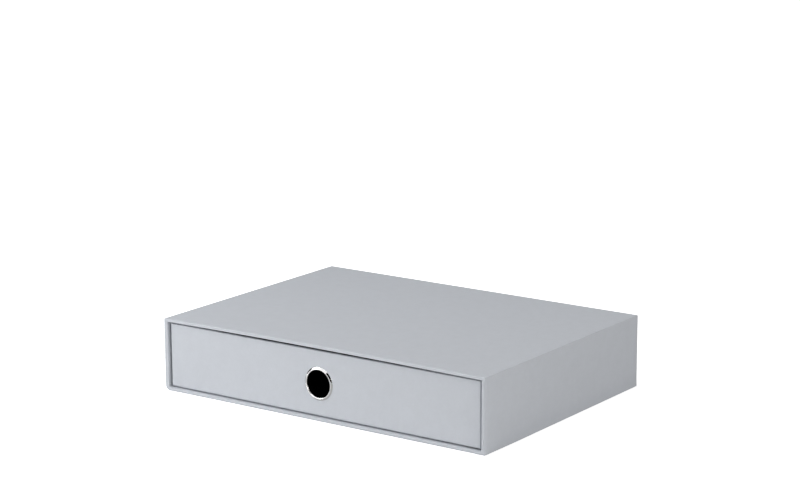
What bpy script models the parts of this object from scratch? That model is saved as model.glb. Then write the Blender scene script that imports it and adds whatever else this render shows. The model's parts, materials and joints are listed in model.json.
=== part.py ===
"""A desktop file drawer: a paper-covered board casing, open in front, and one board tray that slides in it.

Both boxes are cut greyboards inside a folded sheet of paper. The origin is at the bottom centre, +Z is up
and the drawer opens towards -Y. All sizes are in metres.
"""
import math
from collections import namedtuple

import bmesh
import bpy
from mathutils import Matrix, Vector

# Paper, and the gaps between glued and between sliding layers
PAPER = 0.0002
GLUE = 0.0003
RUN_GAP = 0.0003
FOLD_RADIUS = 0.0006
LEAST_RADIUS = 0.00015

# Casing, outside its covering
CASE_WIDTH = 0.335
CASE_DEPTH = 0.245
CASE_HEIGHT = 0.065
CASE_BOARD = 0.0017
SIDE_BOARD = 0.0029
UPPER_EDGE_RADIUS = 0.0005
MOUTH_TURN_IN = 0.018
BACK_TURN_OVER = 0.016
SHEET_BORDER = 0.003

# Tray, whose front wall is the drawer's face
FACE_RECESS = 0.0021
SIDE_GAP = 0.0022
TOP_GAP = 0.0015
TRAY_BOARD = 0.002
RIM_TO_WASHER = 0.0016
UNDER_TURN = 0.015

# Eyelet in the face, and the washer that its rolled edge grips
FINGER_HOLE_RADIUS = 0.0119
FLANGE_WIDTH = 0.0024
EYELET_METAL = 0.0004
CROWN_RISE = 0.0006
CROWN_WIDTH = 0.0008
CROWN_ROUNDING = 0.0005
CURL_WIDTH = 0.0012
CURL_DEPTH = 0.0008
CURL_ROUNDING = 0.0005
WASHER_WIDTH = 0.0015
WASHER_METAL = 0.0004
WASHER_DISH = 0.0002

# Facets of each rounded corner and of each full turn, and how far a cutter overruns
ARC_STEPS = 4
TURN_STEPS = 40
CUT_OVERRUN = 0.002

# Colours (linear), roughness and metallic value of each finish
GREY_PAPER = ("grey_paper", (0.53, 0.555, 0.595), 0.85, 0.0)
DARK_LINING = ("dark_lining", (0.03, 0.028, 0.026), 0.9, 0.0)
GREYBOARD = ("greyboard", (0.23, 0.215, 0.19), 0.9, 0.0)
POLISHED_METAL = ("polished_metal", (0.78, 0.78, 0.79), 0.12, 1.0)

# Thickness of a layer with its glue, and of a whole wall with paper on both faces
SKIN = PAPER + GLUE
CASE_WALL = SKIN + CASE_BOARD + SKIN
SIDE_WALL = SKIN + SIDE_BOARD + SKIN
TRAY_WALL = SKIN + TRAY_BOARD + SKIN
MID_PAPER = PAPER / 2

# The casing's two lower long edges are rounded over nearly the whole thickness of the floor board
LOWER_EDGE_RADIUS = CASE_BOARD - PAPER

# The casing's boards: their outer faces, and the levels of the back ones
BOARD_SIDE = CASE_WIDTH / 2 - SKIN
BOARD_LOW = SKIN + SKIN
BOARD_HIGH = CASE_HEIGHT - SKIN
BOARD_FRONT = -CASE_DEPTH / 2 + SKIN
BACK_BOARD_REAR = CASE_DEPTH / 2 - SKIN - SKIN
BACK_BOARD_FRONT = BACK_BOARD_REAR - CASE_BOARD
SLEEVE_REAR = BACK_BOARD_FRONT - GLUE

# The mouth inside the turned-in paper, which is also the size inside the lining
MOUTH_SIDE = CASE_WIDTH / 2 - SIDE_WALL
MOUTH_LOW = SKIN + CASE_WALL
MOUTH_HIGH = CASE_HEIGHT - CASE_WALL
BACK_LINING_FRONT = BACK_BOARD_FRONT - SKIN

# The tray's covering, outside, and its boards
TRAY_SIDE = MOUTH_SIDE - SIDE_GAP
TRAY_FRONT = -CASE_DEPTH / 2 + FACE_RECESS
TRAY_REAR = BACK_LINING_FRONT - RUN_GAP
TRAY_UNDERSIDE = MOUTH_LOW + RUN_GAP
TRAY_LOW = TRAY_UNDERSIDE + SKIN
TRAY_HIGH = MOUTH_HIGH - TOP_GAP
TRAY_FLOOR_LOW = TRAY_LOW + SKIN
TRAY_FLOOR_HIGH = TRAY_FLOOR_LOW + TRAY_BOARD
WALL_LOW = TRAY_FLOOR_HIGH + GLUE
WALL_HIGH = TRAY_HIGH - SKIN
WALL_SIDE = TRAY_SIDE - SKIN
WALL_FRONT = TRAY_FRONT + SKIN
WALL_REAR = TRAY_REAR - SKIN

# The eyelet's centre on the face, and the radii of its parts
EYELET_HEIGHT = (TRAY_LOW + TRAY_HIGH) / 2
BARREL_RADIUS = FINGER_HOLE_RADIUS + EYELET_METAL
BORE_RADIUS = BARREL_RADIUS + GLUE
WASHER_RADIUS = BARREL_RADIUS + GLUE + WASHER_WIDTH + WASHER_METAL

# The paper turned in over the tray's rim ends a little above the washer
RIM_TURN_IN = TRAY_HIGH - EYELET_HEIGHT - WASHER_RADIUS - RIM_TO_WASHER

# The outside of a covering seen along the axis that it is wrapped about, and its four corner radii
Outline = namedtuple("Outline", "left right low high radii")

# How much thicker the casing's side walls are than its floor and top
WIDER_SIDES = SIDE_WALL - CASE_WALL

CASE_OUTLINE = Outline(
    -CASE_WIDTH / 2,
    CASE_WIDTH / 2,
    SKIN,
    CASE_HEIGHT,
    (
        LOWER_EDGE_RADIUS + SKIN,
        LOWER_EDGE_RADIUS + SKIN,
        UPPER_EDGE_RADIUS + SKIN,
        UPPER_EDGE_RADIUS + SKIN,
    ),
)
TRAY_OUTLINE = Outline(-TRAY_SIDE, TRAY_SIDE, TRAY_FRONT, TRAY_REAR, (FOLD_RADIUS + MID_PAPER,) * 4)

# Turns a shape drawn in X and Y to stand upright, with its own Z pointing out of the front
FACING_FRONT = (math.pi / 2, 0, 0)


def clear_scene():
    """Remove what a new file holds."""
    for item in list(bpy.data.objects):
        bpy.data.objects.remove(item)


def collection(name):
    """A new collection in the scene."""
    made = bpy.data.collections.new(name)
    bpy.context.scene.collection.children.link(made)
    return made


def finish(piece, look):
    """Give the piece a material of its own with the finish's colour, roughness and metallic value."""
    kind, colour, roughness, metallic = look
    material = bpy.data.materials.new(f"{piece.name}_{kind}")
    material.use_nodes = True
    shader = material.node_tree.nodes["Principled BSDF"]
    shader.inputs["Base Color"].default_value = (*colour, 1)
    shader.inputs["Roughness"].default_value = roughness
    shader.inputs["Metallic"].default_value = metallic
    material.diffuse_color = (*colour, 1)
    piece.data.materials.append(material)


def add_piece(name, data, look, group):
    """Make the named object of a mesh or curve, in its collection and with its material."""
    piece = bpy.data.objects.new(name, data)
    group.objects.link(piece)
    finish(piece, look)
    return piece


def block(name, low, high, look, group):
    """A board or a flat sheet between two opposite corners."""
    low = Vector(low)
    size = Vector(high) - low
    mesh = bpy.data.meshes.new(name)
    shape = bmesh.new()
    bmesh.ops.create_cube(shape, size=1, matrix=Matrix.Diagonal((*size, 1)))
    shape.to_mesh(mesh)
    shape.free()
    piece = add_piece(name, mesh, look, group)
    piece.location = low + size / 2
    return piece


def round_corners(corners, radii, closed=True):
    """The points of a path whose corners are rounded, each by its own radius; zero keeps one sharp."""
    corners = [Vector(corner) for corner in corners]
    points = []
    for index, (corner, radius) in enumerate(zip(corners, radii)):
        is_end = not closed and index in (0, len(corners) - 1)
        if is_end or not radius:
            points.append(corner)
            continue
        before = (corners[index - 1] - corner).normalized()
        after = (corners[(index + 1) % len(corners)] - corner).normalized()
        half_angle = before.angle(after) / 2
        tangent = radius / math.tan(half_angle)
        centre = corner + (before + after).normalized() * radius / math.sin(half_angle)
        start = corner + before * tangent - centre
        end = corner + after * tangent - centre
        for step in range(ARC_STEPS + 1):
            points.append(centre + radius * start.slerp(end, step / ARC_STEPS))
    return points


def extruded_board(name, outline, front, rear, look, group):
    """A board whose long edges are rounded: its outline in X and Z, drawn out between two levels of Y."""
    corners = [
        (outline.left, outline.low),
        (outline.right, outline.low),
        (outline.right, outline.high),
        (outline.left, outline.high),
    ]
    curve = bpy.data.curves.new(name, "CURVE")
    curve.dimensions = "2D"
    curve.fill_mode = "BOTH"
    curve.extrude = (rear - front) / 2
    points = round_corners(corners, outline.radii)
    spline = curve.splines.new("POLY")
    spline.points.add(len(points) - 1)
    for target, point in zip(spline.points, points):
        target.co = (*point, 0, 1)
    spline.use_cyclic_u = True
    piece = add_piece(name, curve, look, group)
    piece.rotation_euler = FACING_FRONT
    piece.location.y = (front + rear) / 2
    return piece


def inset_ring(outline, inset, wider):
    """The outline drawn smaller by the inset, its corner radii shrinking with it.

    Inside the fold over a wall's edge, the sides are drawn in further by what they are wider.
    """
    past_fold = inset - MID_PAPER - FOLD_RADIUS
    side = inset + min(max(past_fold / FOLD_RADIUS, 0), 1) * wider
    corners = [
        (outline.left + side, outline.low + inset),
        (outline.right - side, outline.low + inset),
        (outline.right - side, outline.high - inset),
        (outline.left + side, outline.high - inset),
    ]
    radii = [max(radius - inset, LEAST_RADIUS) for radius in outline.radii]
    return round_corners(corners, radii)


def wrapped_sheet(name, outline, profile, look, group, wider=0):
    """A sheet of paper wrapped round a box and folded over its edges.

    The profile runs across the sheet's folds. Each of its corners is a pair: how far the middle of
    the paper lies inside the outline, and its level along the axis that the sheet is wrapped about.
    """
    radii = [FOLD_RADIUS] * len(profile)
    stations = round_corners(profile, radii, closed=False)
    shape = bmesh.new()
    rings = []
    for inset, level in stations:
        ring = inset_ring(outline, inset, wider)
        rings.append([shape.verts.new((*point, level)) for point in ring])
    for ring, following in zip(rings, rings[1:]):
        for index in range(len(ring)):
            before = index - 1
            shape.faces.new((ring[before], ring[index], following[index], following[before]))
    mesh = bpy.data.meshes.new(name)
    shape.to_mesh(mesh)
    shape.free()
    mesh.shade_smooth()
    piece = add_piece(name, mesh, look, group)
    add_thickness(piece, PAPER)
    return piece


def add_thickness(piece, thickness):
    """Thicken an open surface by the same amount on both sides."""
    shell = piece.modifiers.new("thickness", "SOLIDIFY")
    shell.thickness = thickness
    shell.offset = 0
    shell.use_even_offset = True


def turned_sheet(name, profile, radii, metal, look, group):
    """Thin metal turned about the eyelet's axis; the profile is the middle of the metal."""
    points = round_corners(profile, radii, closed=False)
    mesh = bpy.data.meshes.new(name)
    edges = [(index, index + 1) for index in range(len(points) - 1)]
    mesh.from_pydata([(radius, 0, level) for radius, level in points], edges, [])
    piece = add_piece(name, mesh, look, group)
    piece.rotation_euler = FACING_FRONT
    piece.location = (0, TRAY_FRONT, EYELET_HEIGHT)
    turn = piece.modifiers.new("turn", "SCREW")
    turn.steps = TURN_STEPS
    turn.render_steps = TURN_STEPS
    turn.use_merge_vertices = True
    turn.merge_threshold = LEAST_RADIUS / TURN_STEPS
    add_thickness(piece, metal)
    return piece


def bore_cutter(group):
    """The round cutter that bores the finger hole through the tray's front wall."""
    mesh = bpy.data.meshes.new("finger_hole_cutter")
    shape = bmesh.new()
    bmesh.ops.create_cone(
        shape,
        cap_ends=True,
        segments=TURN_STEPS,
        radius1=BORE_RADIUS,
        radius2=BORE_RADIUS,
        depth=TRAY_WALL + CUT_OVERRUN + CUT_OVERRUN,
    )
    shape.to_mesh(mesh)
    shape.free()
    cutter = bpy.data.objects.new("finger_hole_cutter", mesh)
    group.objects.link(cutter)
    cutter.rotation_euler = FACING_FRONT
    cutter.location = (0, TRAY_FRONT + TRAY_WALL / 2, EYELET_HEIGHT)
    cutter.hide_render = True
    cutter.display_type = "WIRE"
    return cutter


def bore(piece, cutter):
    """Cut the finger hole through a piece."""
    cut = piece.modifiers.new("finger_hole", "BOOLEAN")
    cut.operation = "DIFFERENCE"
    cut.object = cutter


def casing_boards(group):
    """Five greyboards: floor and top over the full width, the sides between them, the back behind."""
    square = (0, 0)
    lower = (LOWER_EDGE_RADIUS, LOWER_EDGE_RADIUS)
    upper = (UPPER_EDGE_RADIUS, UPPER_EDGE_RADIUS)
    floor_high = BOARD_LOW + CASE_BOARD
    top_low = BOARD_HIGH - CASE_BOARD
    floor = Outline(-BOARD_SIDE, BOARD_SIDE, BOARD_LOW, floor_high, lower + square)
    extruded_board("casing_floor_board", floor, BOARD_FRONT, SLEEVE_REAR, GREYBOARD, group)
    top = Outline(-BOARD_SIDE, BOARD_SIDE, top_low, BOARD_HIGH, square + upper)
    extruded_board("casing_top_board", top, BOARD_FRONT, SLEEVE_REAR, GREYBOARD, group)
    back = Outline(-BOARD_SIDE, BOARD_SIDE, BOARD_LOW, BOARD_HIGH, lower + upper)
    extruded_board("casing_back_board", back, BACK_BOARD_FRONT, BACK_BOARD_REAR, GREYBOARD, group)
    inner_side = BOARD_SIDE - SIDE_BOARD
    for name, left, right in (
        ("casing_left_board", -BOARD_SIDE, -inner_side),
        ("casing_right_board", inner_side, BOARD_SIDE),
    ):
        low = (left, BOARD_FRONT, floor_high + GLUE)
        high = (right, SLEEVE_REAR, top_low - GLUE)
        block(name, low, high, GREYBOARD, group)


def casing_papers(group):
    """The sleeve's wrapped cover, the sheets that close its back and underside, and the lining."""
    front = CASE_DEPTH / 2 - MID_PAPER
    rear = -CASE_DEPTH / 2 + SKIN + MID_PAPER
    turned_in = CASE_WALL - MID_PAPER
    cover_profile = [
        (BACK_TURN_OVER, rear),
        (MID_PAPER, rear),
        (MID_PAPER, front),
        (turned_in, front),
        (turned_in, CASE_DEPTH / 2 - MOUTH_TURN_IN),
    ]
    cover = wrapped_sheet(
        "casing_cover_paper", CASE_OUTLINE, cover_profile, GREY_PAPER, group, WIDER_SIDES
    )
    lining_profile = [
        (turned_in, CASE_DEPTH / 2 - MOUTH_TURN_IN - GLUE),
        (turned_in, -SLEEVE_REAR),
    ]
    lining = wrapped_sheet(
        "casing_lining_paper", CASE_OUTLINE, lining_profile, DARK_LINING, group, WIDER_SIDES
    )
    for piece in (cover, lining):
        piece.rotation_euler = FACING_FRONT

    lining_side = MOUTH_SIDE - GLUE
    back_lining_low = (-lining_side, BACK_LINING_FRONT, MOUTH_LOW + GLUE)
    back_lining_high = (lining_side, BACK_LINING_FRONT + PAPER, MOUTH_HIGH - GLUE)
    block("casing_back_lining", back_lining_low, back_lining_high, DARK_LINING, group)

    sheet_side = CASE_WIDTH / 2 - SHEET_BORDER
    back_low = (-sheet_side, CASE_DEPTH / 2 - PAPER, SKIN + SHEET_BORDER)
    back_high = (sheet_side, CASE_DEPTH / 2, CASE_HEIGHT - SHEET_BORDER)
    block("casing_back_paper", back_low, back_high, GREY_PAPER, group)
    under_low = (-sheet_side, -CASE_DEPTH / 2 + SHEET_BORDER, 0)
    under_high = (sheet_side, CASE_DEPTH / 2 - SHEET_BORDER, PAPER)
    block("casing_underside_paper", under_low, under_high, GREY_PAPER, group)


def tray_boards(group, cutter):
    """Five greyboards: the floor under all, front and back over the full width, the sides between."""
    floor_low = (-WALL_SIDE, WALL_FRONT, TRAY_FLOOR_LOW)
    floor_high = (WALL_SIDE, WALL_REAR, TRAY_FLOOR_HIGH)
    floor = block("drawer_floor_board", floor_low, floor_high, GREYBOARD, group)
    front_rear = WALL_FRONT + TRAY_BOARD
    back_front = WALL_REAR - TRAY_BOARD
    walls = []
    for name, left, right, front, rear in (
        ("drawer_front_board", -WALL_SIDE, WALL_SIDE, WALL_FRONT, front_rear),
        ("drawer_back_board", -WALL_SIDE, WALL_SIDE, back_front, WALL_REAR),
        ("drawer_left_board", -WALL_SIDE, -WALL_SIDE + TRAY_BOARD, front_rear + GLUE, back_front - GLUE),
        ("drawer_right_board", WALL_SIDE - TRAY_BOARD, WALL_SIDE, front_rear + GLUE, back_front - GLUE),
    ):
        walls.append(block(name, (left, front, WALL_LOW), (right, rear, WALL_HIGH), GREYBOARD, group))
    bore(walls[0], cutter)
    return [floor, *walls]


def tray_papers(group, cutter):
    """The tray's wrapped cover, the sheet that it slides on, and its lining."""
    turned_in = TRAY_WALL - MID_PAPER
    cover_profile = [
        (UNDER_TURN, TRAY_LOW + MID_PAPER),
        (MID_PAPER, TRAY_LOW + MID_PAPER),
        (MID_PAPER, TRAY_HIGH - MID_PAPER),
        (turned_in, TRAY_HIGH - MID_PAPER),
        (turned_in, TRAY_HIGH - RIM_TURN_IN),
    ]
    cover = wrapped_sheet("drawer_cover_paper", TRAY_OUTLINE, cover_profile, GREY_PAPER, group)
    lining_profile = [
        (turned_in, WALL_LOW),
        (turned_in, TRAY_HIGH - RIM_TURN_IN - GLUE),
    ]
    lining = wrapped_sheet("drawer_wall_lining", TRAY_OUTLINE, lining_profile, DARK_LINING, group)
    bore(cover, cutter)
    bore(lining, cutter)

    inner_side = TRAY_SIDE - TRAY_WALL - GLUE
    inner_front = TRAY_FRONT + TRAY_WALL + GLUE
    inner_rear = TRAY_REAR - TRAY_WALL - GLUE
    floor_low = (-inner_side, inner_front, WALL_LOW)
    floor_high = (inner_side, inner_rear, WALL_LOW + PAPER)
    floor = block("drawer_floor_lining", floor_low, floor_high, DARK_LINING, group)
    sheet_side = TRAY_SIDE - SHEET_BORDER
    under_low = (-sheet_side, TRAY_FRONT + SHEET_BORDER, TRAY_UNDERSIDE)
    under_high = (sheet_side, TRAY_REAR - SHEET_BORDER, TRAY_UNDERSIDE + PAPER)
    underside = block("drawer_underside_paper", under_low, under_high, GREY_PAPER, group)
    return [cover, lining, floor, underside]


def eyelet_pieces(group):
    """A domed flange drawn into a barrel, whose far edge is rolled over a dished washer."""
    half_metal = EYELET_METAL / 2
    barrel = FINGER_HOLE_RADIUS + half_metal
    rim = FINGER_HOLE_RADIUS + FLANGE_WIDTH - half_metal
    rim_level = GLUE + half_metal
    crown_level = rim_level + CROWN_RISE
    washer_front = -TRAY_WALL - GLUE - WASHER_METAL / 2
    washer_back = washer_front - WASHER_DISH
    curl_edge = washer_back - WASHER_METAL / 2 - GLUE
    curl_level = curl_edge - CURL_DEPTH
    profile = [
        (rim, rim_level),
        (barrel + CROWN_WIDTH, crown_level),
        (barrel, crown_level),
        (barrel, curl_level),
        (barrel + CURL_WIDTH, curl_level),
        (barrel + CURL_WIDTH, curl_edge),
    ]
    radii = [0, CROWN_ROUNDING, CROWN_ROUNDING, CURL_ROUNDING, CURL_ROUNDING, 0]
    eyelet = turned_sheet("eyelet", profile, radii, EYELET_METAL, POLISHED_METAL, group)
    washer_bore = BARREL_RADIUS + GLUE
    washer_profile = [
        (washer_bore, washer_back),
        (washer_bore + WASHER_WIDTH / 2, washer_back),
        (washer_bore + WASHER_WIDTH, washer_front),
    ]
    washer_radii = [0, 0, 0]
    washer = turned_sheet(
        "eyelet_washer", washer_profile, washer_radii, WASHER_METAL, POLISHED_METAL, group
    )
    return [eyelet, washer]


def hang_on_slide(pieces, group):
    """Parent the tray's pieces to an empty on the middle of the face, the handle that slides them."""
    slide = bpy.data.objects.new("drawer_slide", None)
    group.objects.link(slide)
    slide.location = (0, TRAY_FRONT, EYELET_HEIGHT)
    bpy.context.view_layer.update()
    for piece in pieces:
        piece.parent = slide
        piece.matrix_parent_inverse = slide.matrix_world.inverted()


def main():
    """Build the whole object."""
    clear_scene()
    parts = collection("desktop_file_drawer")
    cutters = collection("cutters")
    cutter = bore_cutter(cutters)
    casing_boards(parts)
    casing_papers(parts)
    tray = tray_boards(parts, cutter) + tray_papers(parts, cutter) + eyelet_pieces(parts)
    hang_on_slide(tray, parts)


main()
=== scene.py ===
# %% [markdown]
# # A paper-covered file drawer
#
# This lesson dresses a small desk drawer made of greyboard: a flat casing with one tray that slides out of
# its front. The boards, their sizes and the sliding joint come from the frame. What is left to model here
# is the skin: two sheets of grey paper folded round the boards, a bright metal eyelet, and the finish of
# every surface. The real box has no paint and no screws, so its looks rest on soft folds and thin shadows.

# %% Load the frame
import json
import math

import bmesh
import bpy
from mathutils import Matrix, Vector


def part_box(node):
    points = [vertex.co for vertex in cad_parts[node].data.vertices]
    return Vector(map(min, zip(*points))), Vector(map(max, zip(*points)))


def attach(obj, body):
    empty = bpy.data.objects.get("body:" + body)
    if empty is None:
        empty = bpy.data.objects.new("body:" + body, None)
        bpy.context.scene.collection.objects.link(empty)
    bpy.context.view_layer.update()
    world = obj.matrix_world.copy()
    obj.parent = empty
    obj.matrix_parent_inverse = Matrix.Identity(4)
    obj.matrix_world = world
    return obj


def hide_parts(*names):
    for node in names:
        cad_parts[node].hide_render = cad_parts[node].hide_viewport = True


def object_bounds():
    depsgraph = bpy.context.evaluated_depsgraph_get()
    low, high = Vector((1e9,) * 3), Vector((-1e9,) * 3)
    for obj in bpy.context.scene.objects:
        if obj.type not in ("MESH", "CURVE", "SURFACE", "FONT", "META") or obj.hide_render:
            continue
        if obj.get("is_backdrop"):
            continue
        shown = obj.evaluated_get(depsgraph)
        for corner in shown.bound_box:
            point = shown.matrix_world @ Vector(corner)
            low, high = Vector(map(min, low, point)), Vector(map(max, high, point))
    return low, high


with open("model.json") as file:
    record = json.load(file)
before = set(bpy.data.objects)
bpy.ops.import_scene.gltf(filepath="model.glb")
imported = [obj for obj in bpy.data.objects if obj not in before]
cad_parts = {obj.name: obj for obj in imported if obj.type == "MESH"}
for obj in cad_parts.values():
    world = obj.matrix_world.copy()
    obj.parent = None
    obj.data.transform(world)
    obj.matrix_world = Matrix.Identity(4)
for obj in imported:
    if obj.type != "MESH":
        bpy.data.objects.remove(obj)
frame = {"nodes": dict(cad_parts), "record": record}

cad_low, cad_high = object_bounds()
nodes = frame["nodes"]
print("the frame measures", [round(size, 4) for size in cad_high - cad_low], "metres")

# %% [markdown]
# ## The camera
#
# The photograph was taken with a long lens from the right of the face and a little above it. A long lens
# keeps the far edges nearly parallel to the near ones. The camera's place was solved from the corners of
# the box, so it is typed in as it is: a place, three angles and a lens.

# %% Place the camera
CAMERA_PLACE = (1.1275, -1.6030, 0.5678)
CAMERA_ANGLES = (math.radians(77.222), math.radians(0.148), math.radians(35.124))
CAMERA_LENS = 104.09

scene = bpy.context.scene
scene.view_settings.view_transform = "Standard"
bpy.ops.object.camera_add(location=CAMERA_PLACE, rotation=CAMERA_ANGLES)
camera = bpy.context.object
camera.data.lens = CAMERA_LENS
scene.camera = camera
print("camera at", CAMERA_PLACE)

# %% [markdown]
# ## The room
#
# A product picture like this one is made on a white sweep. Here the floor is a wide plane, and the world
# is white to the camera and to reflections but dimmer as a lamp, because a white world that also lit the
# box at full strength would wash out its folds. The floor's material adds a little light of its own for
# the camera only, which turns it white and leaves just a breath of the shadow under the box. Further out,
# where the lamps no longer reach, that light grows until the floor is as white as the world behind it.

# %% Lay the floor and set the world
FLOOR_SIZE = 14
WORLD_LIGHT = 0.15
FLOOR_GLOW = 0.7
FLOOR_COLOUR = (0.9, 0.9, 0.9, 1)
FLOOR_ROUGHNESS = 0.9
GLOW_START = 0.6
GLOW_END = 1.6


def link(tree, source, target):
    """Join an output socket to an input socket."""
    tree.links.new(source, target)


def white_behind(tree):
    """A value that is 1 for camera, glossy and transmission rays, and 0 for the light they gather."""
    path = tree.nodes.new("ShaderNodeLightPath")
    seen = None
    for kind in ("Is Camera Ray", "Is Glossy Ray", "Is Transmission Ray"):
        if seen is None:
            seen = path.outputs[kind]
            continue
        either = tree.nodes.new("ShaderNodeMath")
        either.operation = "MAXIMUM"
        link(tree, seen, either.inputs[0])
        link(tree, path.outputs[kind], either.inputs[1])
        seen = either.outputs[0]
    return seen


world = bpy.data.worlds.new("white_room")
scene.world = world
world.use_nodes = True
air = world.node_tree
background = air.nodes["Background"]
background.inputs["Color"].default_value = (1, 1, 1, 1)
strength = air.nodes.new("ShaderNodeMapRange")
strength.inputs["To Min"].default_value = WORLD_LIGHT
strength.inputs["To Max"].default_value = 1
link(air, white_behind(air), strength.inputs["Value"])
link(air, strength.outputs[0], background.inputs["Strength"])

bpy.ops.mesh.primitive_plane_add(size=FLOOR_SIZE)
floor = bpy.context.object
floor.name = "floor"
floor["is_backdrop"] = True
floor_paint = bpy.data.materials.new("white_sweep")
floor_paint.use_nodes = True
sweep = floor_paint.node_tree
sweep_shader = sweep.nodes["Principled BSDF"]
sweep_shader.inputs["Base Color"].default_value = FLOOR_COLOUR
sweep_shader.inputs["Roughness"].default_value = FLOOR_ROUGHNESS
sweep_shader.inputs["Emission Color"].default_value = (1, 1, 1, 1)
place = sweep.nodes.new("ShaderNodeTexCoord")
distance = sweep.nodes.new("ShaderNodeVectorMath")
distance.operation = "LENGTH"
link(sweep, place.outputs["Object"], distance.inputs[0])
outwards = sweep.nodes.new("ShaderNodeMapRange")
outwards.inputs["From Min"].default_value = GLOW_START
outwards.inputs["From Max"].default_value = GLOW_END
outwards.inputs["To Min"].default_value = FLOOR_GLOW
outwards.inputs["To Max"].default_value = 1
link(sweep, distance.outputs["Value"], outwards.inputs["Value"])
glow = sweep.nodes.new("ShaderNodeMath")
glow.operation = "MULTIPLY"
link(sweep, white_behind(sweep), glow.inputs[0])
link(sweep, outwards.outputs["Result"], glow.inputs[1])
link(sweep, glow.outputs[0], sweep_shader.inputs["Emission Strength"])
floor.data.materials.append(floor_paint)
print("floor of", FLOOR_SIZE, "metres")

# %% [markdown]
# ## The light
#
# The face is brightest at its left end, the top is a little darker than the face and the right side is
# the darkest, with soft changes everywhere. So the main lamp is a large square to the left of the camera,
# near enough to fall off along the face, and a second one from above gives the top its even tone. A lamp
# on the right keeps that side from going flat, and one behind does the same for the back.

# %% Hang the lamps
KEY_PLACE = (-0.9, -0.9, 0.6)
KEY_SIZE = 0.6
KEY_POWER = 10.4
TOP_PLACE = (-0.1, -0.4, 1.2)
TOP_SIZE = 0.9
TOP_POWER = 5.7
SIDE_PLACE = (1.7, -0.6, 0.7)
SIDE_SIZE = 0.9
SIDE_POWER = 12.9
SIDE_COLOUR = (1, 0.985, 0.965)
BACK_PLACE = (-0.4, 1.6, 0.25)
BACK_SIZE = 0.9
BACK_POWER = 8.0
WHITE = (1, 1, 1)


def soft_lamp(name, place, size, power, colour):
    """A square lamp that faces the middle of the box."""
    bpy.ops.object.light_add(type="AREA", location=place)
    lamp = bpy.context.object
    lamp.name = name
    lamp.data.shape = "SQUARE"
    lamp.data.size = size
    lamp.data.energy = power
    lamp.data.color = colour
    aim = (cad_low + cad_high) / 2 - lamp.location
    lamp.rotation_euler = aim.to_track_quat("-Z", "Y").to_euler()
    return lamp


key_lamp = soft_lamp("key_lamp", KEY_PLACE, KEY_SIZE, KEY_POWER, WHITE)
top_lamp = soft_lamp("top_lamp", TOP_PLACE, TOP_SIZE, TOP_POWER, WHITE)
side_lamp = soft_lamp("side_lamp", SIDE_PLACE, SIDE_SIZE, SIDE_POWER, SIDE_COLOUR)
back_lamp = soft_lamp("back_lamp", BACK_PLACE, BACK_SIZE, BACK_POWER, WHITE)
print("lamps:", key_lamp.name, top_lamp.name, side_lamp.name, back_lamp.name)

# %% [markdown]
# ## Cards for the metal to reflect
#
# A polished ring shows the room and hardly any colour of its own. In the photograph it is white on top,
# where it mirrors the large lamp, black at two places where it mirrors the unlit room beside the camera and
# far to the left, and grey low down, where it mirrors the shaded table. Six cards stand for those parts of
# the room. Like a studio's flags they are only there to be reflected, so the camera, the shadows and the
# soft light pass them by.

# %% Stand the cards
UNLIT = 0.004
DIM = 0.5
PALE = 0.6
BRIGHT = 1.35
FLOOR_GAP = 0.002
LEANING = (90, -54, 0)
FLAT = (0, 0, 0)
CARDS = (
    # name, level, place from the middle of the front's lower edge, angles in degrees, width, height
    ("camera_side_card", UNLIT, (0.28, -1, 0.165), LEANING, 1.3, 0.9),
    ("over_camera_card", BRIGHT, (-0.73, -1, 0.9), LEANING, 1.1, 1.6),
    ("far_left_card", UNLIT, (-0.98, -0.17, 0.2), (90, 0, -80), 0.5, 0.4),
    ("right_card", DIM, (0.9, -0.55, 0.2), (90, 0, 58), 0.6, 0.4),
    ("front_floor_card", PALE, (0.2, -0.5, FLOOR_GAP), FLAT, 0.45, 1.0),
    ("left_floor_card", DIM, (-0.3, -0.035, FLOOR_GAP), FLAT, 0.4, 0.07),
)


def card(name, level, place, angles, wide, high):
    """A card that the metal alone can see."""
    bpy.ops.mesh.primitive_plane_add(
        size=1,
        location=(place[0], cad_low.y + place[1], place[2]),
        rotation=[math.radians(angle) for angle in angles],
    )
    panel = bpy.context.object
    panel.name = name
    panel.scale = (wide, high, 1)
    paint = bpy.data.materials.new(name)
    paint.use_nodes = True
    shader = paint.node_tree.nodes["Principled BSDF"]
    shader.inputs["Base Color"].default_value = (0, 0, 0, 1)
    shader.inputs["Roughness"].default_value = 1
    shader.inputs["Specular IOR Level"].default_value = 0
    shader.inputs["Emission Color"].default_value = (level, level, level, 1)
    shader.inputs["Emission Strength"].default_value = 1
    panel.data.materials.append(paint)
    panel.visible_camera = False
    panel.visible_diffuse = False
    panel.visible_shadow = False
    panel.visible_transmission = False
    panel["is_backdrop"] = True
    return panel


panels = [card(*row) for row in CARDS]
print("cards:", [panel.name for panel in panels])

# %% [markdown]
# ## Sizes taken from the frame
#
# Every new piece stands for a node of the frame, so its sizes are read from the nodes' boxes and not typed
# again. A wall at the mouth is a board with paper and glue on both of its faces.

# %% Read the sizes
case_low, case_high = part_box("casing_cover_paper")
tray_low, tray_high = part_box("drawer_cover_paper")
sheet_low, sheet_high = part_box("casing_back_paper")
under_low, under_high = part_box("casing_underside_paper")
side_board_low, side_board_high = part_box("casing_left_board")
top_board_low, top_board_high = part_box("casing_top_board")
floor_board_low, floor_board_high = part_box("casing_floor_board")
front_board_low, front_board_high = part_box("drawer_front_board")
ring_low, ring_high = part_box("eyelet")

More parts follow.
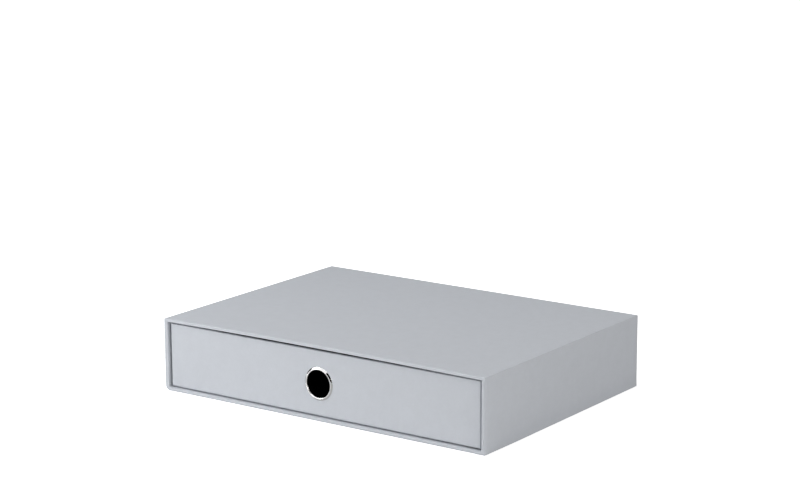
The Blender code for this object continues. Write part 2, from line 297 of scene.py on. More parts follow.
PAPER = sheet_high.y - sheet_low.y
MERGE_REACH = PAPER / 10
SKIN = side_board_low.x - case_low.x
SIDE_WALL = 2 * SKIN + side_board_high.x - side_board_low.x
TOP_WALL = 2 * SKIN + top_board_high.z - top_board_low.z
TRAY_WALL = 2 * SKIN + front_board_high.y - front_board_low.y
print("walls of", [round(wall * 1000, 2) for wall in (SIDE_WALL, TOP_WALL, TRAY_WALL)], "mm")

# %% [markdown]
# ## Working by hand, in code
#
# The pieces are shaped with the same operators as at the keyboard. An operator acts on everything that is
# selected, so two small helpers keep the selection honest: one leaves a single piece selected, the other
# selects the faces or edges that pass a test of their place or direction.

# %% Helpers for selecting and finishing
BEND_ANGLE = math.radians(30)
FACING_SHARE = 0.99
FLAT_WEIGHT = 100


def only(piece):
    """Select this piece alone and make it the active one."""
    bpy.ops.object.select_all(action="DESELECT")
    piece.select_set(True)
    bpy.context.view_layer.objects.active = piece


def edit(piece):
    """Open this piece alone in edit mode."""
    only(piece)
    bpy.ops.object.mode_set(mode="EDIT")


def leave_edit():
    """Go back to object mode."""
    bpy.ops.object.mode_set(mode="OBJECT")


def pick_faces(test):
    """In edit mode, select only the faces that pass the test."""
    bpy.ops.mesh.select_mode(type="FACE")
    bpy.ops.mesh.select_all(action="DESELECT")
    mesh = bpy.context.edit_object.data
    shape = bmesh.from_edit_mesh(mesh)
    for face in shape.faces:
        face.select_set(test(face))
    bmesh.update_edit_mesh(mesh)


def pick_edges(test):
    """In edit mode, select only the edges that pass the test."""
    bpy.ops.mesh.select_mode(type="EDGE")
    bpy.ops.mesh.select_all(action="DESELECT")
    mesh = bpy.context.edit_object.data
    shape = bmesh.from_edit_mesh(mesh)
    for edge in shape.edges:
        edge.select_set(test(edge))
    bmesh.update_edit_mesh(mesh)


def facing(*direction):
    """A test for faces that face one way."""
    return lambda face: face.normal.dot(Vector(direction)) > FACING_SHARE


def add_block(name, low, high):
    """A cube primitive between two corners, with its place in its mesh."""
    bpy.ops.object.select_all(action="DESELECT")
    bpy.ops.mesh.primitive_cube_add(size=1, location=(low + high) / 2, scale=high - low)
    piece = bpy.context.object
    piece.name = name
    piece.data.name = name
    bpy.ops.object.transform_apply(location=True, rotation=True, scale=True)
    return piece


def apply_modifier(piece, kind, **settings):
    """Add a modifier with these settings and apply it."""
    only(piece)
    modifier = piece.modifiers.new(kind.lower(), kind)
    for name, value in settings.items():
        setattr(modifier, name, value)
    bpy.ops.object.modifier_apply(modifier=modifier.name)


def smooth(piece):
    """Shade the soft bends smoothly, keep the sharp edges, and keep large flat faces flat."""
    only(piece)
    bpy.ops.object.shade_smooth_by_angle(angle=BEND_ANGLE)
    apply_modifier(piece, "WEIGHTED_NORMAL", keep_sharp=True, weight=FLAT_WEIGHT)


print("helpers are ready")

# %% [markdown]
# ## The casing's paper
#
# One sheet is wrapped round the sleeve of boards, folded over the cut edges at the mouth and turned in, and
# turned over on the back. It could be a box with a thickness, but the folds would be too sharp. Here it
# starts as a closed block: the front is inset by the wall and pushed in, which leaves the turned-in paper,
# and the back is inset and opened. The lower corners are rounder outside than inside, so they are rounded
# while the rim of the mouth is open, and a bridge closes the rim again. Bevels then soften the folds.

# %% Fold the casing's paper
MOUTH_TURN_IN = 0.018
BACK_TURN_OVER = 0.016
LOWER_ROUNDING = 0.0042
OUTER_FOLD = 0.0006
MOUTH_ROUNDING = 0.0014
INNER_FOLD = 0.0002
NEAR = 0.00005
ROUNDING_STEPS = 8
FOLD_STEPS = 6
SMALL_STEPS = 4
INNER_STEPS = 3


def is_at(edge, axis, level):
    """True if both ends of an edge lie at a level along an axis."""
    return all(abs(vertex.co[axis] - level) < NEAR for vertex in edge.verts)


def is_fold(edge):
    """True if the two faces of an edge meet at an angle."""
    return len(edge.link_faces) == 2 and edge.calc_face_angle() > BEND_ANGLE


def long_edge(level):
    """A test for the casing's outer edges that run from front to back at one height."""
    def test(edge):
        on_side = is_at(edge, 0, case_low.x) or is_at(edge, 0, case_high.x)
        return on_side and is_at(edge, 2, level)
    return test


def mouth_edge(edge):
    """True for the mouth's two lower corners, where the turned-in paper runs from front to back."""
    on_side = any(is_at(edge, 0, side) for side in (SIDE_WALL - case_high.x, case_high.x - SIDE_WALL))
    return on_side and is_at(edge, 2, case_low.z + TOP_WALL)


def round_mouth(edge):
    """True for the fold round the mouth, on the inside of the wall."""
    corners = [vertex.co for vertex in edge.verts]
    return all(abs(corner.x) < case_high.x - SIDE_WALL + NEAR for corner in corners) and all(
        case_low.z + TOP_WALL - NEAR < corner.z < case_high.z - TOP_WALL + NEAR for corner in corners
    )


def outer_fold(edge):
    """True for the two upper long edges and for the folds round the front and the back."""
    at_end = is_at(edge, 1, case_low.y) or is_at(edge, 1, case_high.y)
    return long_edge(case_high.z)(edge) or (at_end and is_fold(edge) and not round_mouth(edge))


casing_cover = add_block("casing_cover", case_low, case_high)
edit(casing_cover)
pick_faces(facing(0, -1, 0))
bpy.ops.mesh.inset(thickness=TOP_WALL)
narrower = (case_high.x - SIDE_WALL) / (case_high.x - TOP_WALL)
bpy.ops.transform.resize(value=(narrower, 1, 1))
bpy.ops.mesh.extrude_region_move(TRANSFORM_OT_translate={"value": (0, MOUTH_TURN_IN, 0)})
bpy.ops.mesh.delete(type="FACE")
pick_faces(facing(0, 1, 0))
bpy.ops.mesh.inset(thickness=BACK_TURN_OVER)
bpy.ops.mesh.delete(type="FACE")
pick_faces(facing(0, -1, 0))
bpy.ops.mesh.delete(type="FACE")
pick_edges(long_edge(case_low.z))
bpy.ops.mesh.bevel(offset=LOWER_ROUNDING, segments=ROUNDING_STEPS, affect="EDGES")
pick_edges(mouth_edge)
bpy.ops.mesh.bevel(offset=MOUTH_ROUNDING, segments=ROUNDING_STEPS, affect="EDGES")
pick_edges(lambda edge: is_at(edge, 1, case_low.y) and len(edge.link_faces) == 1)
bpy.ops.mesh.bridge_edge_loops()
bpy.ops.mesh.select_all(action="SELECT")
bpy.ops.mesh.normals_make_consistent(inside=False)
pick_edges(outer_fold)
bpy.ops.mesh.bevel(offset=OUTER_FOLD, segments=FOLD_STEPS, affect="EDGES")
pick_edges(lambda edge: is_at(edge, 1, case_low.y) and is_fold(edge) and round_mouth(edge))
bpy.ops.mesh.bevel(offset=INNER_FOLD, segments=INNER_STEPS, affect="EDGES")
leave_edit()
print("casing_cover has", len(casing_cover.data.polygons), "faces before the bow")

# %% [markdown]
# ## A board that has bowed
#
# Board that is covered on one side pulls itself into a slight curve. In the photograph the gap over the
# drawer is widest a little left of the middle of the mouth: the top board has risen there by about a
# millimetre. The same curve goes into the cover, the board and the lining, so they stay together. Plane
# cuts give the flat panels the points that they need to bend.

# %% Bow the top of the casing
BOW = 0.0011
BOW_FULLNESS = 1.2
BOW_LEAN = 0.12
BOW_COLUMNS = 24
BOW_ROWS = 8
case_middle = (case_low + case_high) / 2


def cut_across(piece, axis, low, high, count):
    """Cut a piece with evenly spaced planes across one axis."""
    edit(piece)
    normal = Vector((0, 0, 0))
    normal[axis] = 1
    for index in range(1, count):
        place = Vector((0, 0, 0))
        place[axis] = low + (high - low) * index / count
        bpy.ops.mesh.select_all(action="SELECT")
        bpy.ops.mesh.bisect(plane_co=place, plane_no=normal)
    leave_edit()


def rise(place):
    """How far the top is raised at a place, most near the middle of the mouth."""
    share = min(max(place.x / case_high.x, -1), 1)
    share += BOW_LEAN * (1 - share**2)
    across = max(1 - share**2, 0) ** BOW_FULLNESS
    along = (case_high.y - place.y) / (case_high.y - case_low.y)
    return BOW * across * along


def bow_top(piece):
    """Cut a piece into strips and raise its top."""
    cut_across(piece, 0, case_low.x, case_high.x, BOW_COLUMNS)
    cut_across(piece, 1, case_low.y, case_high.y, BOW_ROWS)
    for vertex in piece.data.vertices:
        if vertex.co.z > case_middle.z:
            vertex.co.z += rise(vertex.co)


def merged_copy(node, name):
    """A new piece with a CAD node's shape, its doubled points merged."""
    piece = nodes[node].copy()
    piece.data = nodes[node].data.copy()
    piece.name = name
    piece.data.name = name
    piece.parent = None
    for key in list(piece.keys()):
        del piece[key]
    scene.collection.objects.link(piece)
    edit(piece)
    bpy.ops.mesh.select_all(action="SELECT")
    bpy.ops.mesh.remove_doubles(threshold=MERGE_REACH)
    leave_edit()
    return piece


casing_top = merged_copy("casing_top_board", "casing_top")
casing_lining = merged_copy("casing_lining_paper", "casing_lining")
for piece in (casing_cover, casing_top, casing_lining):
    bow_top(piece)
print("the top is bowed by", BOW * 1000, "mm")

# %% [markdown]
# ## Folds of different width
#
# A bevel is equally wide all the way, but the folds of the real sleeve are not. The front edge on the right
# has been pressed rounder than the left one, and so have the folds of the sill and of the lip over the
# drawer. The cover gets two more cuts, near the ends of the right edge, and the points of these folds are
# then drawn apart, which turns a narrow arc into a wide one and lets it run out towards the corners.

# %% Widen three of the front folds
SIDE_FOLD = 0.0024
SIDE_FOLD_ABOVE = 0.004
SIDE_FOLD_BELOW = 0.007
SIDE_FOLD_ENDS = (LOWER_ROUNDING + SIDE_FOLD_ABOVE, case_high.z - SIDE_FOLD_BELOW)
SILL_FOLD = 0.0012
SILL_FOLD_SPARE = 0.002
SILL_FOLD_END = case_high.x - LOWER_ROUNDING - SILL_FOLD_SPARE
LIP_FOLD = 0.0011


def widened(first, second, width):
    """Distances of a point from the two faces of a fold, as they are on a wider fold."""
    if max(first, second) > OUTER_FOLD + 2 * NEAR:
        return first, second
    return min(first / OUTER_FOLD, 1) * width, min(second / OUTER_FOLD, 1) * width


edit(casing_cover)
for level in SIDE_FOLD_ENDS:
    bpy.ops.mesh.select_all(action="SELECT")
    bpy.ops.mesh.bisect(plane_co=(0, 0, level), plane_no=(0, 0, 1))
leave_edit()
for vertex in casing_cover.data.vertices:
    place = vertex.co
    from_front = place.y - case_low.y
    if SIDE_FOLD_ENDS[0] - NEAR < place.z < SIDE_FOLD_ENDS[1] + NEAR:
        from_side, from_front = widened(case_high.x - place.x, from_front, SIDE_FOLD)
        place.x = case_high.x - from_side
    elif abs(place.x) < SILL_FOLD_END and place.z < case_middle.z:
        from_below, from_front = widened(place.z - case_low.z, from_front, SILL_FOLD)
        place.z = case_low.z + from_below
    elif abs(place.x) < SILL_FOLD_END:
        top = case_high.z + rise(place)
        from_top, from_front = widened(top - place.z, from_front, LIP_FOLD)
        place.z = top - from_top
    place.y = case_low.y + from_front
fold_widths = (OUTER_FOLD, LIP_FOLD, SILL_FOLD, SIDE_FOLD)
print("folds of", [round(width * 1000, 1) for width in fold_widths], "mm")

# %% [markdown]
# ## Lower edges that tighten towards the back
#
# The sleeve's lower edges are soft at the mouth, on the left above all, and run tight further back. Their
# bevel was made as wide as it is at the left of the mouth, and here its points are drawn towards the
# corner, the more the further back they lie. The mouth's inner corners lie near these points and have to
# stay where they are, or the board shows: they are told apart by how near they lie to the rounding's
# centre. The sheet also settles onto the closing sheet under it, so that the box meets the table without a
# bright slit. Then Solidify gives the paper its thickness.

# %% Tighten and settle the lower edges
RIGHT_ROUNDING = 0.0014
TIGHT_ROUNDING = 0.0005
TIGHTEN_STEPS = (0.004, 0.008, 0.014, 0.022, 0.032, 0.044)
SETTLE = case_low.z - under_high.z

edit(casing_cover)
for step in TIGHTEN_STEPS:
    bpy.ops.mesh.select_all(action="SELECT")
    bpy.ops.mesh.bisect(plane_co=(0, case_low.y + step, 0), plane_no=(0, 1, 0))
leave_edit()
for vertex in casing_cover.data.vertices:
    place = vertex.co
    reach = min(max((place.y - case_low.y - OUTER_FOLD) / TIGHTEN_STEPS[-1], 0), 1)
    at_mouth = LOWER_ROUNDING if place.x < 0 else RIGHT_ROUNDING
    shrink = (at_mouth + reach * (TIGHT_ROUNDING - at_mouth)) / LOWER_ROUNDING
    side = math.copysign(case_high.x, place.x)
    from_side = abs(side - place.x)
    height = place.z - case_low.z
    from_centre = math.hypot(LOWER_ROUNDING - from_side, LOWER_ROUNDING - height)
    if max(from_side, height) < LOWER_ROUNDING + NEAR and from_centre > LOWER_ROUNDING / 2:
        place.x = side - math.copysign(from_side * shrink, side)
        height *= shrink
    if height < TOP_WALL:
        height -= SETTLE * (1 - height / TOP_WALL)
    place.z = case_low.z + height
apply_modifier(casing_cover, "SOLIDIFY", thickness=PAPER, offset=-1, use_even_offset=True)
smooth(casing_cover)
print("casing_cover has", len(casing_cover.data.polygons), "faces")

# %% [markdown]
# ## Boards that stay inside the paper
#
# Under a rounder fold a board with sharp edges would show through its paper. Both side boards get their
# front edge bevelled, the right one more. The floor board's long edges already carry a rounding of the CAD
# solid's, which a second bevel would only spoil, so it is cut to the shape that it shares with a rounder
# block.

# %% Round the boards under the wide folds
def bevelled_board(node, name, chosen, width):
    """A copy of a board whose chosen edges are bevelled."""
    board = merged_copy(node, name)
    edit(board)
    pick_edges(chosen)
    bpy.ops.mesh.bevel(offset=width, segments=SMALL_STEPS, affect="EDGES")
    leave_edit()
    return board


def front_edge(side):
    """A test for the front edge of a side board, on its outer side."""
    return lambda edge: is_at(edge, 0, side) and is_at(edge, 1, side_board_low.y)


right_front, left_front = front_edge(-side_board_low.x), front_edge(side_board_low.x)
casing_right = bevelled_board("casing_right_board", "casing_right", right_front, SIDE_FOLD - SKIN)
casing_left = bevelled_board("casing_left_board", "casing_left", left_front, OUTER_FOLD)

casing_floor = merged_copy("casing_floor_board", "casing_floor")
trimmer = add_block("trimmer", floor_board_low, Vector((*floor_board_high.xy, case_middle.z)))
edit(trimmer)
pick_edges(lambda edge: is_at(edge, 2, floor_board_low.z) and edge.verts[0].co.x == edge.verts[1].co.x)
bpy.ops.mesh.bevel(offset=LOWER_ROUNDING - SKIN, segments=ROUNDING_STEPS, affect="EDGES")
leave_edit()
apply_modifier(casing_floor, "BOOLEAN", operation="INTERSECT", object=trimmer)
bpy.data.objects.remove(trimmer)
for board in (casing_right, casing_left, casing_floor):
    print(board.name, "has", len(board.data.polygons), "faces")

# %% [markdown]
# ## The drawer's paper
#
# The tray is wrapped the same way: round its four walls, over the rim and down inside, and under the floor.
# The block is opened at the top and at the bottom, its corners and its rim are rounded, and a cutter
# punches the hole that takes the eyelet.

# %% Fold the drawer's paper
RIM_TURN_IN = 0.012
UNDER_TURN = 0.015
FACE_LOWER_FOLD = 0.0020
CORNER_FOLD = 0.0006
RIM_FOLD = 0.0003
HOLE_FACETS = 96
HOLE_RADIUS = 0.0126

drawer_cover = add_block("drawer_cover", tray_low, tray_high)
edit(drawer_cover)
pick_faces(facing(0, 0, 1))
bpy.ops.mesh.inset(thickness=TRAY_WALL)
bpy.ops.mesh.extrude_region_move(TRANSFORM_OT_translate={"value": (0, 0, -RIM_TURN_IN)})
bpy.ops.mesh.delete(type="FACE")
pick_faces(facing(0, 0, -1))
bpy.ops.mesh.inset(thickness=UNDER_TURN)
bpy.ops.mesh.delete(type="FACE")


def face_lower_edge(edge):
    """True for the lower edge of the drawer's face."""
    return is_at(edge, 1, tray_low.y) and is_at(edge, 2, tray_low.z)


def tray_fold(edge):
    """True for the tray's outer folds, apart from the rim."""
    on_side = is_at(edge, 0, tray_low.x) or is_at(edge, 0, tray_high.x)
    outside = on_side or is_at(edge, 1, tray_high.y) or is_at(edge, 2, tray_low.z)
    return outside and is_fold(edge) and not is_at(edge, 2, tray_high.z)


pick_edges(face_lower_edge)
bpy.ops.mesh.bevel(offset=FACE_LOWER_FOLD, segments=ROUNDING_STEPS, affect="EDGES")
pick_edges(tray_fold)
bpy.ops.mesh.bevel(offset=CORNER_FOLD, segments=SMALL_STEPS, affect="EDGES")
pick_edges(lambda edge: is_at(edge, 2, tray_high.z) and is_fold(edge))
bpy.ops.mesh.bevel(offset=RIM_FOLD, segments=SMALL_STEPS, affect="EDGES")
leave_edit()

ring_middle = (ring_low + ring_high) / 2
ring_radius = (ring_high.x - ring_low.x) / 2
bpy.ops.mesh.primitive_cylinder_add(
    vertices=HOLE_FACETS,
    radius=HOLE_RADIUS,
    depth=4 * TRAY_WALL,
    location=(ring_middle.x, tray_low.y, ring_middle.z),
    rotation=(math.pi / 2, 0, 0),
)
punch = bpy.context.object
apply_modifier(drawer_cover, "SOLIDIFY", thickness=PAPER, offset=-1, use_even_offset=True)
apply_modifier(drawer_cover, "BOOLEAN", operation="DIFFERENCE", object=punch)
bpy.data.objects.remove(punch)
smooth(drawer_cover)
print("drawer_cover has", len(drawer_cover.data.polygons), "faces")

# %% [markdown]
# ## The board behind the face's lower fold
#
# The fold along the bottom of the face is 2 mm wide, and the tray's floor board comes to within half a
# millimetre of both its sides. Its sharp corner would stick out of the paper, so it is bevelled too. The
# board comes as triangles, and at its right end a diagonal makes the bevel run out, so a hairline of board
# still shows there. Merging the triangles of each face before the bevel would cure that.

# %% Bevel the tray's floor board
drawer_floor = bevelled_board(
    "drawer_floor_board",
    "drawer_floor",
    lambda edge: is_at(edge, 1, tray_low.y + SKIN) and is_at(edge, 2, tray_low.z + SKIN),
    FACE_LOWER_FOLD - SKIN,
)
print("drawer_floor has", len(drawer_floor.data.polygons), "faces")

# %% [markdown]
# ## The eyelet
#
# The finger pull is a two-part eyelet, the kind used for tents and banners. A press draws thin bright metal
# into a barrel with a domed flange, puts it through the front, and rolls the far edge over a washer. Its
# profile is walked out from a circle: each step extrudes the edge loop and resizes it to the next radius.

# %% Turn the eyelet
METAL = 0.0004
RING_FACETS = 128
face_y = tray_low.y
ring_depth = ring_high.y - ring_low.y


def arc(centre, radius, start, end, steps):
    """Points of a profile along an arc; angles in degrees, measured from outwards towards the front."""
    points = []
    for step in range(steps + 1):
        angle = math.radians(start + (end - start) * step / steps)
        points.append((centre[0] + radius * math.cos(angle), centre[1] + radius * math.sin(angle)))
    return points


def turned_ring(name, profile, thickness, offset):
    """Walk a profile of (radius, height above the face) out from a circle, and thicken it."""
    radius, height = profile[0]
    bpy.ops.object.select_all(action="DESELECT")
    bpy.ops.mesh.primitive_circle_add(
        vertices=RING_FACETS,
        radius=radius,
        location=(ring_middle.x, face_y - height, ring_middle.z),
        rotation=(math.pi / 2, 0, 0),
    )
    piece = bpy.context.object
    piece.name = name
    piece.data.name = name
    bpy.ops.object.transform_apply(location=True, rotation=True, scale=True)
    edit(piece)
    bpy.ops.mesh.select_all(action="SELECT")
    for (radius, height), (next_radius, next_height) in zip(profile, profile[1:]):
        bpy.ops.mesh.extrude_edges_move(TRANSFORM_OT_translate={"value": (0, height - next_height, 0)})
        ratio = next_radius / radius
        bpy.ops.transform.resize(
            value=(ratio, 1, ratio), center_override=(ring_middle.x, face_y - next_height, ring_middle.z)
        )
    bpy.ops.mesh.select_all(action="SELECT")
    bpy.ops.mesh.normals_make_consistent(inside=False)
    leave_edit()
    apply_modifier(piece, "SOLIDIFY", thickness=thickness, offset=offset, use_even_offset=True)
    smooth(piece)
    return piece


print("ring is", round(2 * ring_radius * 1000, 1), "mm across and", round(ring_depth * 1000, 1), "mm deep")

# %% [markdown]
# ## The eyelet's profile
#
# Seen in section, the flange rises from the face in a small bend, runs up a slightly hollowed slope, turns
# over a round crown and drops into the barrel. The slope is what shows the black of the room, and the crown
# the bright line round the hole. Each arc starts where the last one ends and in the same direction, so the
# metal has no edges. The flange is a little wider than the frame's and is pressed a hair into the paper.
# Behind the front, the far end curls outwards over the washer.

# %% Draw the eyelet's profile
RIM_BEND = 0.0003
CROWN_BEND = 0.0007
RIM_SPARE = 0.0003
HOLE_CLEAR_RADIUS = 0.0121
CURL_ROUNDING = 0.0006
RIM_ANGLE = 52
CROWN_ANGLE = 68
ARC_STEPS = 8
RIM_SEAT = PAPER / 4


def cosine(angle):
    """Cosine of an angle in degrees."""
    return math.cos(math.radians(angle))


def arc_after(points, radius, start, end, steps):
    """An arc that carries on smoothly from the last of the points."""
    centre = (
        points[-1][0] - radius * math.cos(math.radians(start)),
        points[-1][1] - radius * math.sin(math.radians(start)),
    )
    return points + arc(centre, radius, start, end, steps)[1:]


back_height = face_y - ring_high.y
rim_radius = ring_radius + RIM_SPARE
rim_width = RIM_BEND * (1 - cosine(RIM_ANGLE))
crown_width = CROWN_BEND * (1 + cosine(CROWN_ANGLE))
slope_width = rim_radius - rim_width - crown_width - HOLE_CLEAR_RADIUS
slope_bend = slope_width / (cosine(RIM_ANGLE) - cosine(CROWN_ANGLE))
curl_bend = METAL + CURL_ROUNDING

flange = [(rim_radius, RIM_SEAT)]
flange = arc_after(flange, RIM_BEND, 0, RIM_ANGLE, ARC_STEPS)
flange = arc_after(flange, slope_bend, RIM_ANGLE, CROWN_ANGLE, ARC_STEPS)
flange = arc_after(flange, CROWN_BEND, CROWN_ANGLE, 180, ARC_STEPS)
curl_middle = (HOLE_CLEAR_RADIUS + curl_bend, back_height + curl_bend)
curl = arc(curl_middle, curl_bend, 180, 360, 2 * ARC_STEPS)
eyelet_ring = turned_ring("eyelet_ring", flange + curl, METAL, -1)
print("eyelet_ring has", len(eyelet_ring.data.polygons), "faces")

# %% [markdown]
# ## The washer
#
# Inside the drawer, the rolled edge of the eyelet grips a thin steel ring, so that it cannot tear out of
# the board. It is turned in the same way as the eyelet: a flat ring whose outer edge bends up to the board.

# %% Dish the washer
WASHER_ROUNDING = 0.0004
WASHER_STEPS = 4

washer_low, washer_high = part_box("eyelet_washer")
washer_radius = (washer_high.x - washer_low.x) / 2
washer_back = face_y - washer_high.y
washer_bore = HOLE_CLEAR_RADIUS + METAL + METAL / 2
washer_bend_middle = (washer_radius - WASHER_ROUNDING, washer_back + WASHER_ROUNDING)
washer_profile = [
    (washer_bore, washer_back),
    (washer_radius - 2 * WASHER_ROUNDING, washer_back),
    *arc(washer_bend_middle, WASHER_ROUNDING, 270, 360, WASHER_STEPS),
]
washer_ring = turned_ring("washer_ring", washer_profile, METAL / 2, 1)
print("washer_ring has", len(washer_ring.data.polygons), "faces")

# %% [markdown]
# ## Covering paper
#
# Box covering is a thick, dyed, uncoated sheet. From a metre away it is one even grey, close up it has a
# cloudy felt of short fibres and a faint tooth. Three noises do this: a fine one for the tooth, which also
# drives the bump, one drawn out into fibres, which varies the roughness too, and a broad one for the
# clouds. Each only nudges the colour, by about one part in eighty at most.

# %% Make the grey paper
PAPER_COLOUR = (0.533, 0.557, 0.597)
TOOTH_SCALE = 1900
CLOUD_SCALE = 110
FIBRE_SCALE = 420
TOOTH_DETAIL = 2.0
CLOUD_DETAIL = 3.0
FIBRE_DETAIL = 4.0
FIBRE_STRETCH = (1, 0.35, 1)
TOOTH_BUMP = 0.25
TOOTH_HEIGHT = 0.00006
PAPER_NUDGE = 0.012
PAPER_ROUGHNESS = 0.66
PAPER_ROUGHNESS_RANGE = (0.76, 0.86)
PAPER_SPECULAR = 0.2
NOISE_LOW, NOISE_HIGH = 0.3, 0.7


def new_material(name, colour, roughness, metallic=0.0):
    """A material whose shader has these even values, ready for its pattern."""
    material = bpy.data.materials.new(name)
    material.use_nodes = True
    material.diffuse_color = (*colour, 1)
    shader = material.node_tree.nodes["Principled BSDF"]
    shader.inputs["Base Color"].default_value = (*colour, 1)
    shader.inputs["Roughness"].default_value = roughness
    shader.inputs["Metallic"].default_value = metallic
    return material, material.node_tree, shader


def noise(tree, scale, detail, stretch=(1, 1, 1)):
    """A noise on Object coordinates, its scale in ripples a metre; a stretch draws it out."""
    place = tree.nodes.new("ShaderNodeTexCoord")
    turn = tree.nodes.new("ShaderNodeMapping")
    turn.inputs["Scale"].default_value = stretch
    pattern = tree.nodes.new("ShaderNodeTexNoise")
    pattern.inputs["Scale"].default_value = scale
    pattern.inputs["Detail"].default_value = detail
    link(tree, place.outputs["Object"], turn.inputs["Vector"])
    link(tree, turn.outputs["Vector"], pattern.inputs["Vector"])
    return pattern.outputs["Fac"]


def spread(tree, value, low, high):
    """The middle of a noise's range, where nearly all of it lies, spread from low to high."""
    reach = tree.nodes.new("ShaderNodeMapRange")
    reach.inputs["From Min"].default_value = NOISE_LOW
    reach.inputs["From Max"].default_value = NOISE_HIGH
    reach.inputs["To Min"].default_value = low
    reach.inputs["To Max"].default_value = high
    link(tree, value, reach.inputs["Value"])
    return reach.outputs["Result"]


def product(tree, first, second):
    """Two values multiplied."""
    times = tree.nodes.new("ShaderNodeMath")
    times.operation = "MULTIPLY"
    link(tree, first, times.inputs[0])
    link(tree, second, times.inputs[1])
    return times.outputs[0]


def shaded(tree, shader, colour, amount):
    """Send the colour, brightened or darkened by the amount, to the shader."""
    scale = tree.nodes.new("ShaderNodeVectorMath")
    scale.operation = "SCALE"
    scale.inputs[0].default_value = colour
    link(tree, amount, scale.inputs["Scale"])
    link(tree, scale.outputs["Vector"], shader.inputs["Base Color"])


def bumped(tree, shader, height, strength, distance):
    """Raise the surface by a pattern, as far as the distance in metres."""
    bump = tree.nodes.new("ShaderNodeBump")
    bump.inputs["Strength"].default_value = strength
    bump.inputs["Distance"].default_value = distance
    link(tree, height, bump.inputs["Height"])
    link(tree, bump.outputs["Normal"], shader.inputs["Normal"])


def paper_pattern(tree, shader, colour, nudge):
    """Tooth, fibres and clouds of an uncoated sheet."""
    tooth = noise(tree, TOOTH_SCALE, TOOTH_DETAIL)
    fibres = noise(tree, FIBRE_SCALE, FIBRE_DETAIL, FIBRE_STRETCH)
    clouds = noise(tree, CLOUD_SCALE, CLOUD_DETAIL)
    low, high = 1 - nudge, 1 + nudge
    tone = product(tree, spread(tree, clouds, low, high), spread(tree, fibres, low, high))
    tone = product(tree, tone, spread(tree, tooth, low, high))
    shaded(tree, shader, colour, tone)
    bumped(tree, shader, tooth, TOOTH_BUMP, TOOTH_HEIGHT)
    link(tree, spread(tree, fibres, *PAPER_ROUGHNESS_RANGE), shader.inputs["Roughness"])


def grey_paper():
    """The covering paper: even grey, dry, with a faint sheen on its bends."""
    material, tree, shader = new_material("grey_paper", PAPER_COLOUR, PAPER_ROUGHNESS)
    shader.inputs["Specular IOR Level"].default_value = PAPER_SPECULAR
    paper_pattern(tree, shader, PAPER_COLOUR, PAPER_NUDGE)
    return material


cover_paper = grey_paper()
print("made", cover_paper.name)

# %% [markdown]
# ## Lining, board and metal
#
# The inside is lined with black paper, which is why the finger hole reads as a black disc. The board itself
# is pressed from waste paper: a warm grey with lighter and darker specks. The eyelet is plated and
# polished, so nearly all of its look is reflection; faint drawing marks keep it from being a mirror.

# %% Make the lining, the board and the metal
LINING_COLOUR = (0.030, 0.028, 0.026)
BOARD_COLOUR = (0.23, 0.215, 0.19)
METAL_COLOUR = (0.67, 0.67, 0.67)
LINING_ROUGHNESS = 0.8
LINING_SPECULAR = 0.25
LINING_NUDGE = 0.06
BOARD_ROUGHNESS = 0.85
SPECK_SCALE = 900
SPECK_DETAIL = 5.0
SPECK_STRETCH = (1, 0.5, 1)
SPECK_RANGE = (0.72, 1.3)
SPECK_BUMP = 0.5
SPECK_HEIGHT = 0.00015
DRIFT_SCALE = 60
DRIFT_DETAIL = 2.0
DRIFT_RANGE = (0.94, 1.06)
METAL_ROUGHNESS = 0.09
METAL_ROUGHNESS_RANGE = (0.03, 0.06)
MARK_SCALE = 700
MARK_DETAIL = 3.0
MARK_STRETCH = (1, 0.1, 1)
MARK_BUMP = 0.04
MARK_HEIGHT = 0.00002


def black_lining():
    """Black lining paper, dry and slightly cloudy."""
    material, tree, shader = new_material("black_lining", LINING_COLOUR, LINING_ROUGHNESS)
    shader.inputs["Specular IOR Level"].default_value = LINING_SPECULAR
    paper_pattern(tree, shader, LINING_COLOUR, LINING_NUDGE)
    return material


def pressed_board():
    """Greyboard: specks of light and dark pulp in a warm grey."""
    material, tree, shader = new_material("pressed_board", BOARD_COLOUR, BOARD_ROUGHNESS)
    specks = noise(tree, SPECK_SCALE, SPECK_DETAIL, SPECK_STRETCH)
    drifts = noise(tree, DRIFT_SCALE, DRIFT_DETAIL)
    tone = product(tree, spread(tree, specks, *SPECK_RANGE), spread(tree, drifts, *DRIFT_RANGE))
    shaded(tree, shader, BOARD_COLOUR, tone)
    bumped(tree, shader, specks, SPECK_BUMP, SPECK_HEIGHT)
    return material


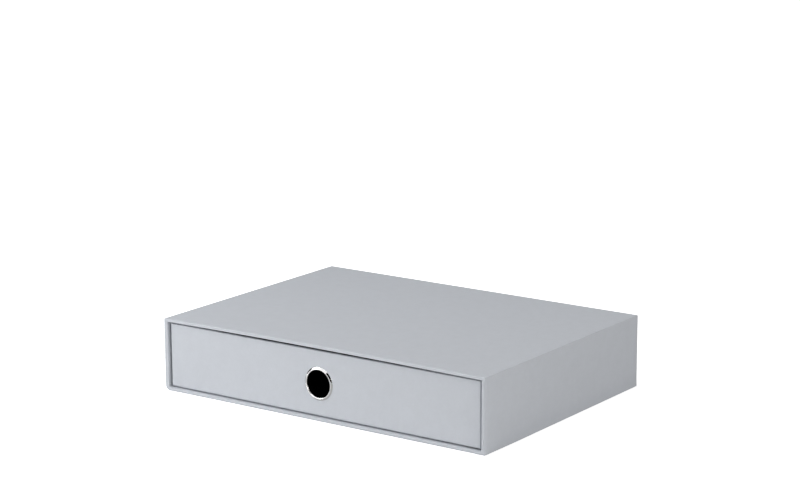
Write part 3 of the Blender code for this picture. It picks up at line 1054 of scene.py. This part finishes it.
def bright_metal():
    """Polished plating with faint marks from drawing and handling."""
    material, tree, shader = new_material("bright_metal", METAL_COLOUR, METAL_ROUGHNESS, 1.0)
    marks = noise(tree, MARK_SCALE, MARK_DETAIL, MARK_STRETCH)
    link(tree, spread(tree, marks, *METAL_ROUGHNESS_RANGE), shader.inputs["Roughness"])
    bumped(tree, shader, marks, MARK_BUMP, MARK_HEIGHT)
    return material


lining_paper = black_lining()
greyboard = pressed_board()
plating = bright_metal()
print("made", lining_paper.name, greyboard.name, plating.name)

# %% [markdown]
# ## Dressing the pieces
#
# Every solid of the frame gets the finish of its material, also the boards that the paper hides, because
# a board shows wherever a sheet ends. Each new piece takes over from the solid that it refines: it rides on
# the same body, so it moves with the drawer, and it carries the same material slot.

# %% Dress every piece
def dress(piece, material):
    """Put one material on all of a piece."""
    piece.data.materials.clear()
    piece.data.materials.append(material)


LOOKS = {
    "grey_paper": cover_paper,
    "dark_lining": lining_paper,
    "greyboard": greyboard,
    "polished_metal": plating,
}
NEW_PIECES = [
    (casing_cover, "casing", "casing_cover_paper"),
    (casing_top, "casing", "casing_top_board"),
    (casing_floor, "casing", "casing_floor_board"),
    (casing_right, "casing", "casing_right_board"),
    (casing_left, "casing", "casing_left_board"),
    (drawer_floor, "drawer", "drawer_floor_board"),
    (casing_lining, "casing", "casing_lining_paper"),
    (drawer_cover, "drawer", "drawer_cover_paper"),
    (eyelet_ring, "drawer", "eyelet"),
    (washer_ring, "drawer", "eyelet_washer"),
]
slot_of = {part["node"]: part["material_slot"] for part in frame["record"]["subparts"]}
for node, piece in nodes.items():
    dress(piece, LOOKS[slot_of[node]])
for piece, body, node in NEW_PIECES:
    dress(piece, LOOKS[slot_of[node]])
    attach(piece, body)
    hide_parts(node)
print(len(NEW_PIECES), "new pieces and", len(nodes) - len(NEW_PIECES), "nodes dressed")

# %% [markdown]
# ## The last step
#
# The finished model's box is measured against the box of the bare solids, and the largest step past it is
# printed, so that anyone can check that dressing the part did not change its size.

# %% Measure the finished model and close
seen_low, seen_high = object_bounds()
largest_step = max(*(cad_low - seen_low), *(seen_high - cad_high))
print("largest step past the frame:", round(largest_step * 1000, 3), "mm")
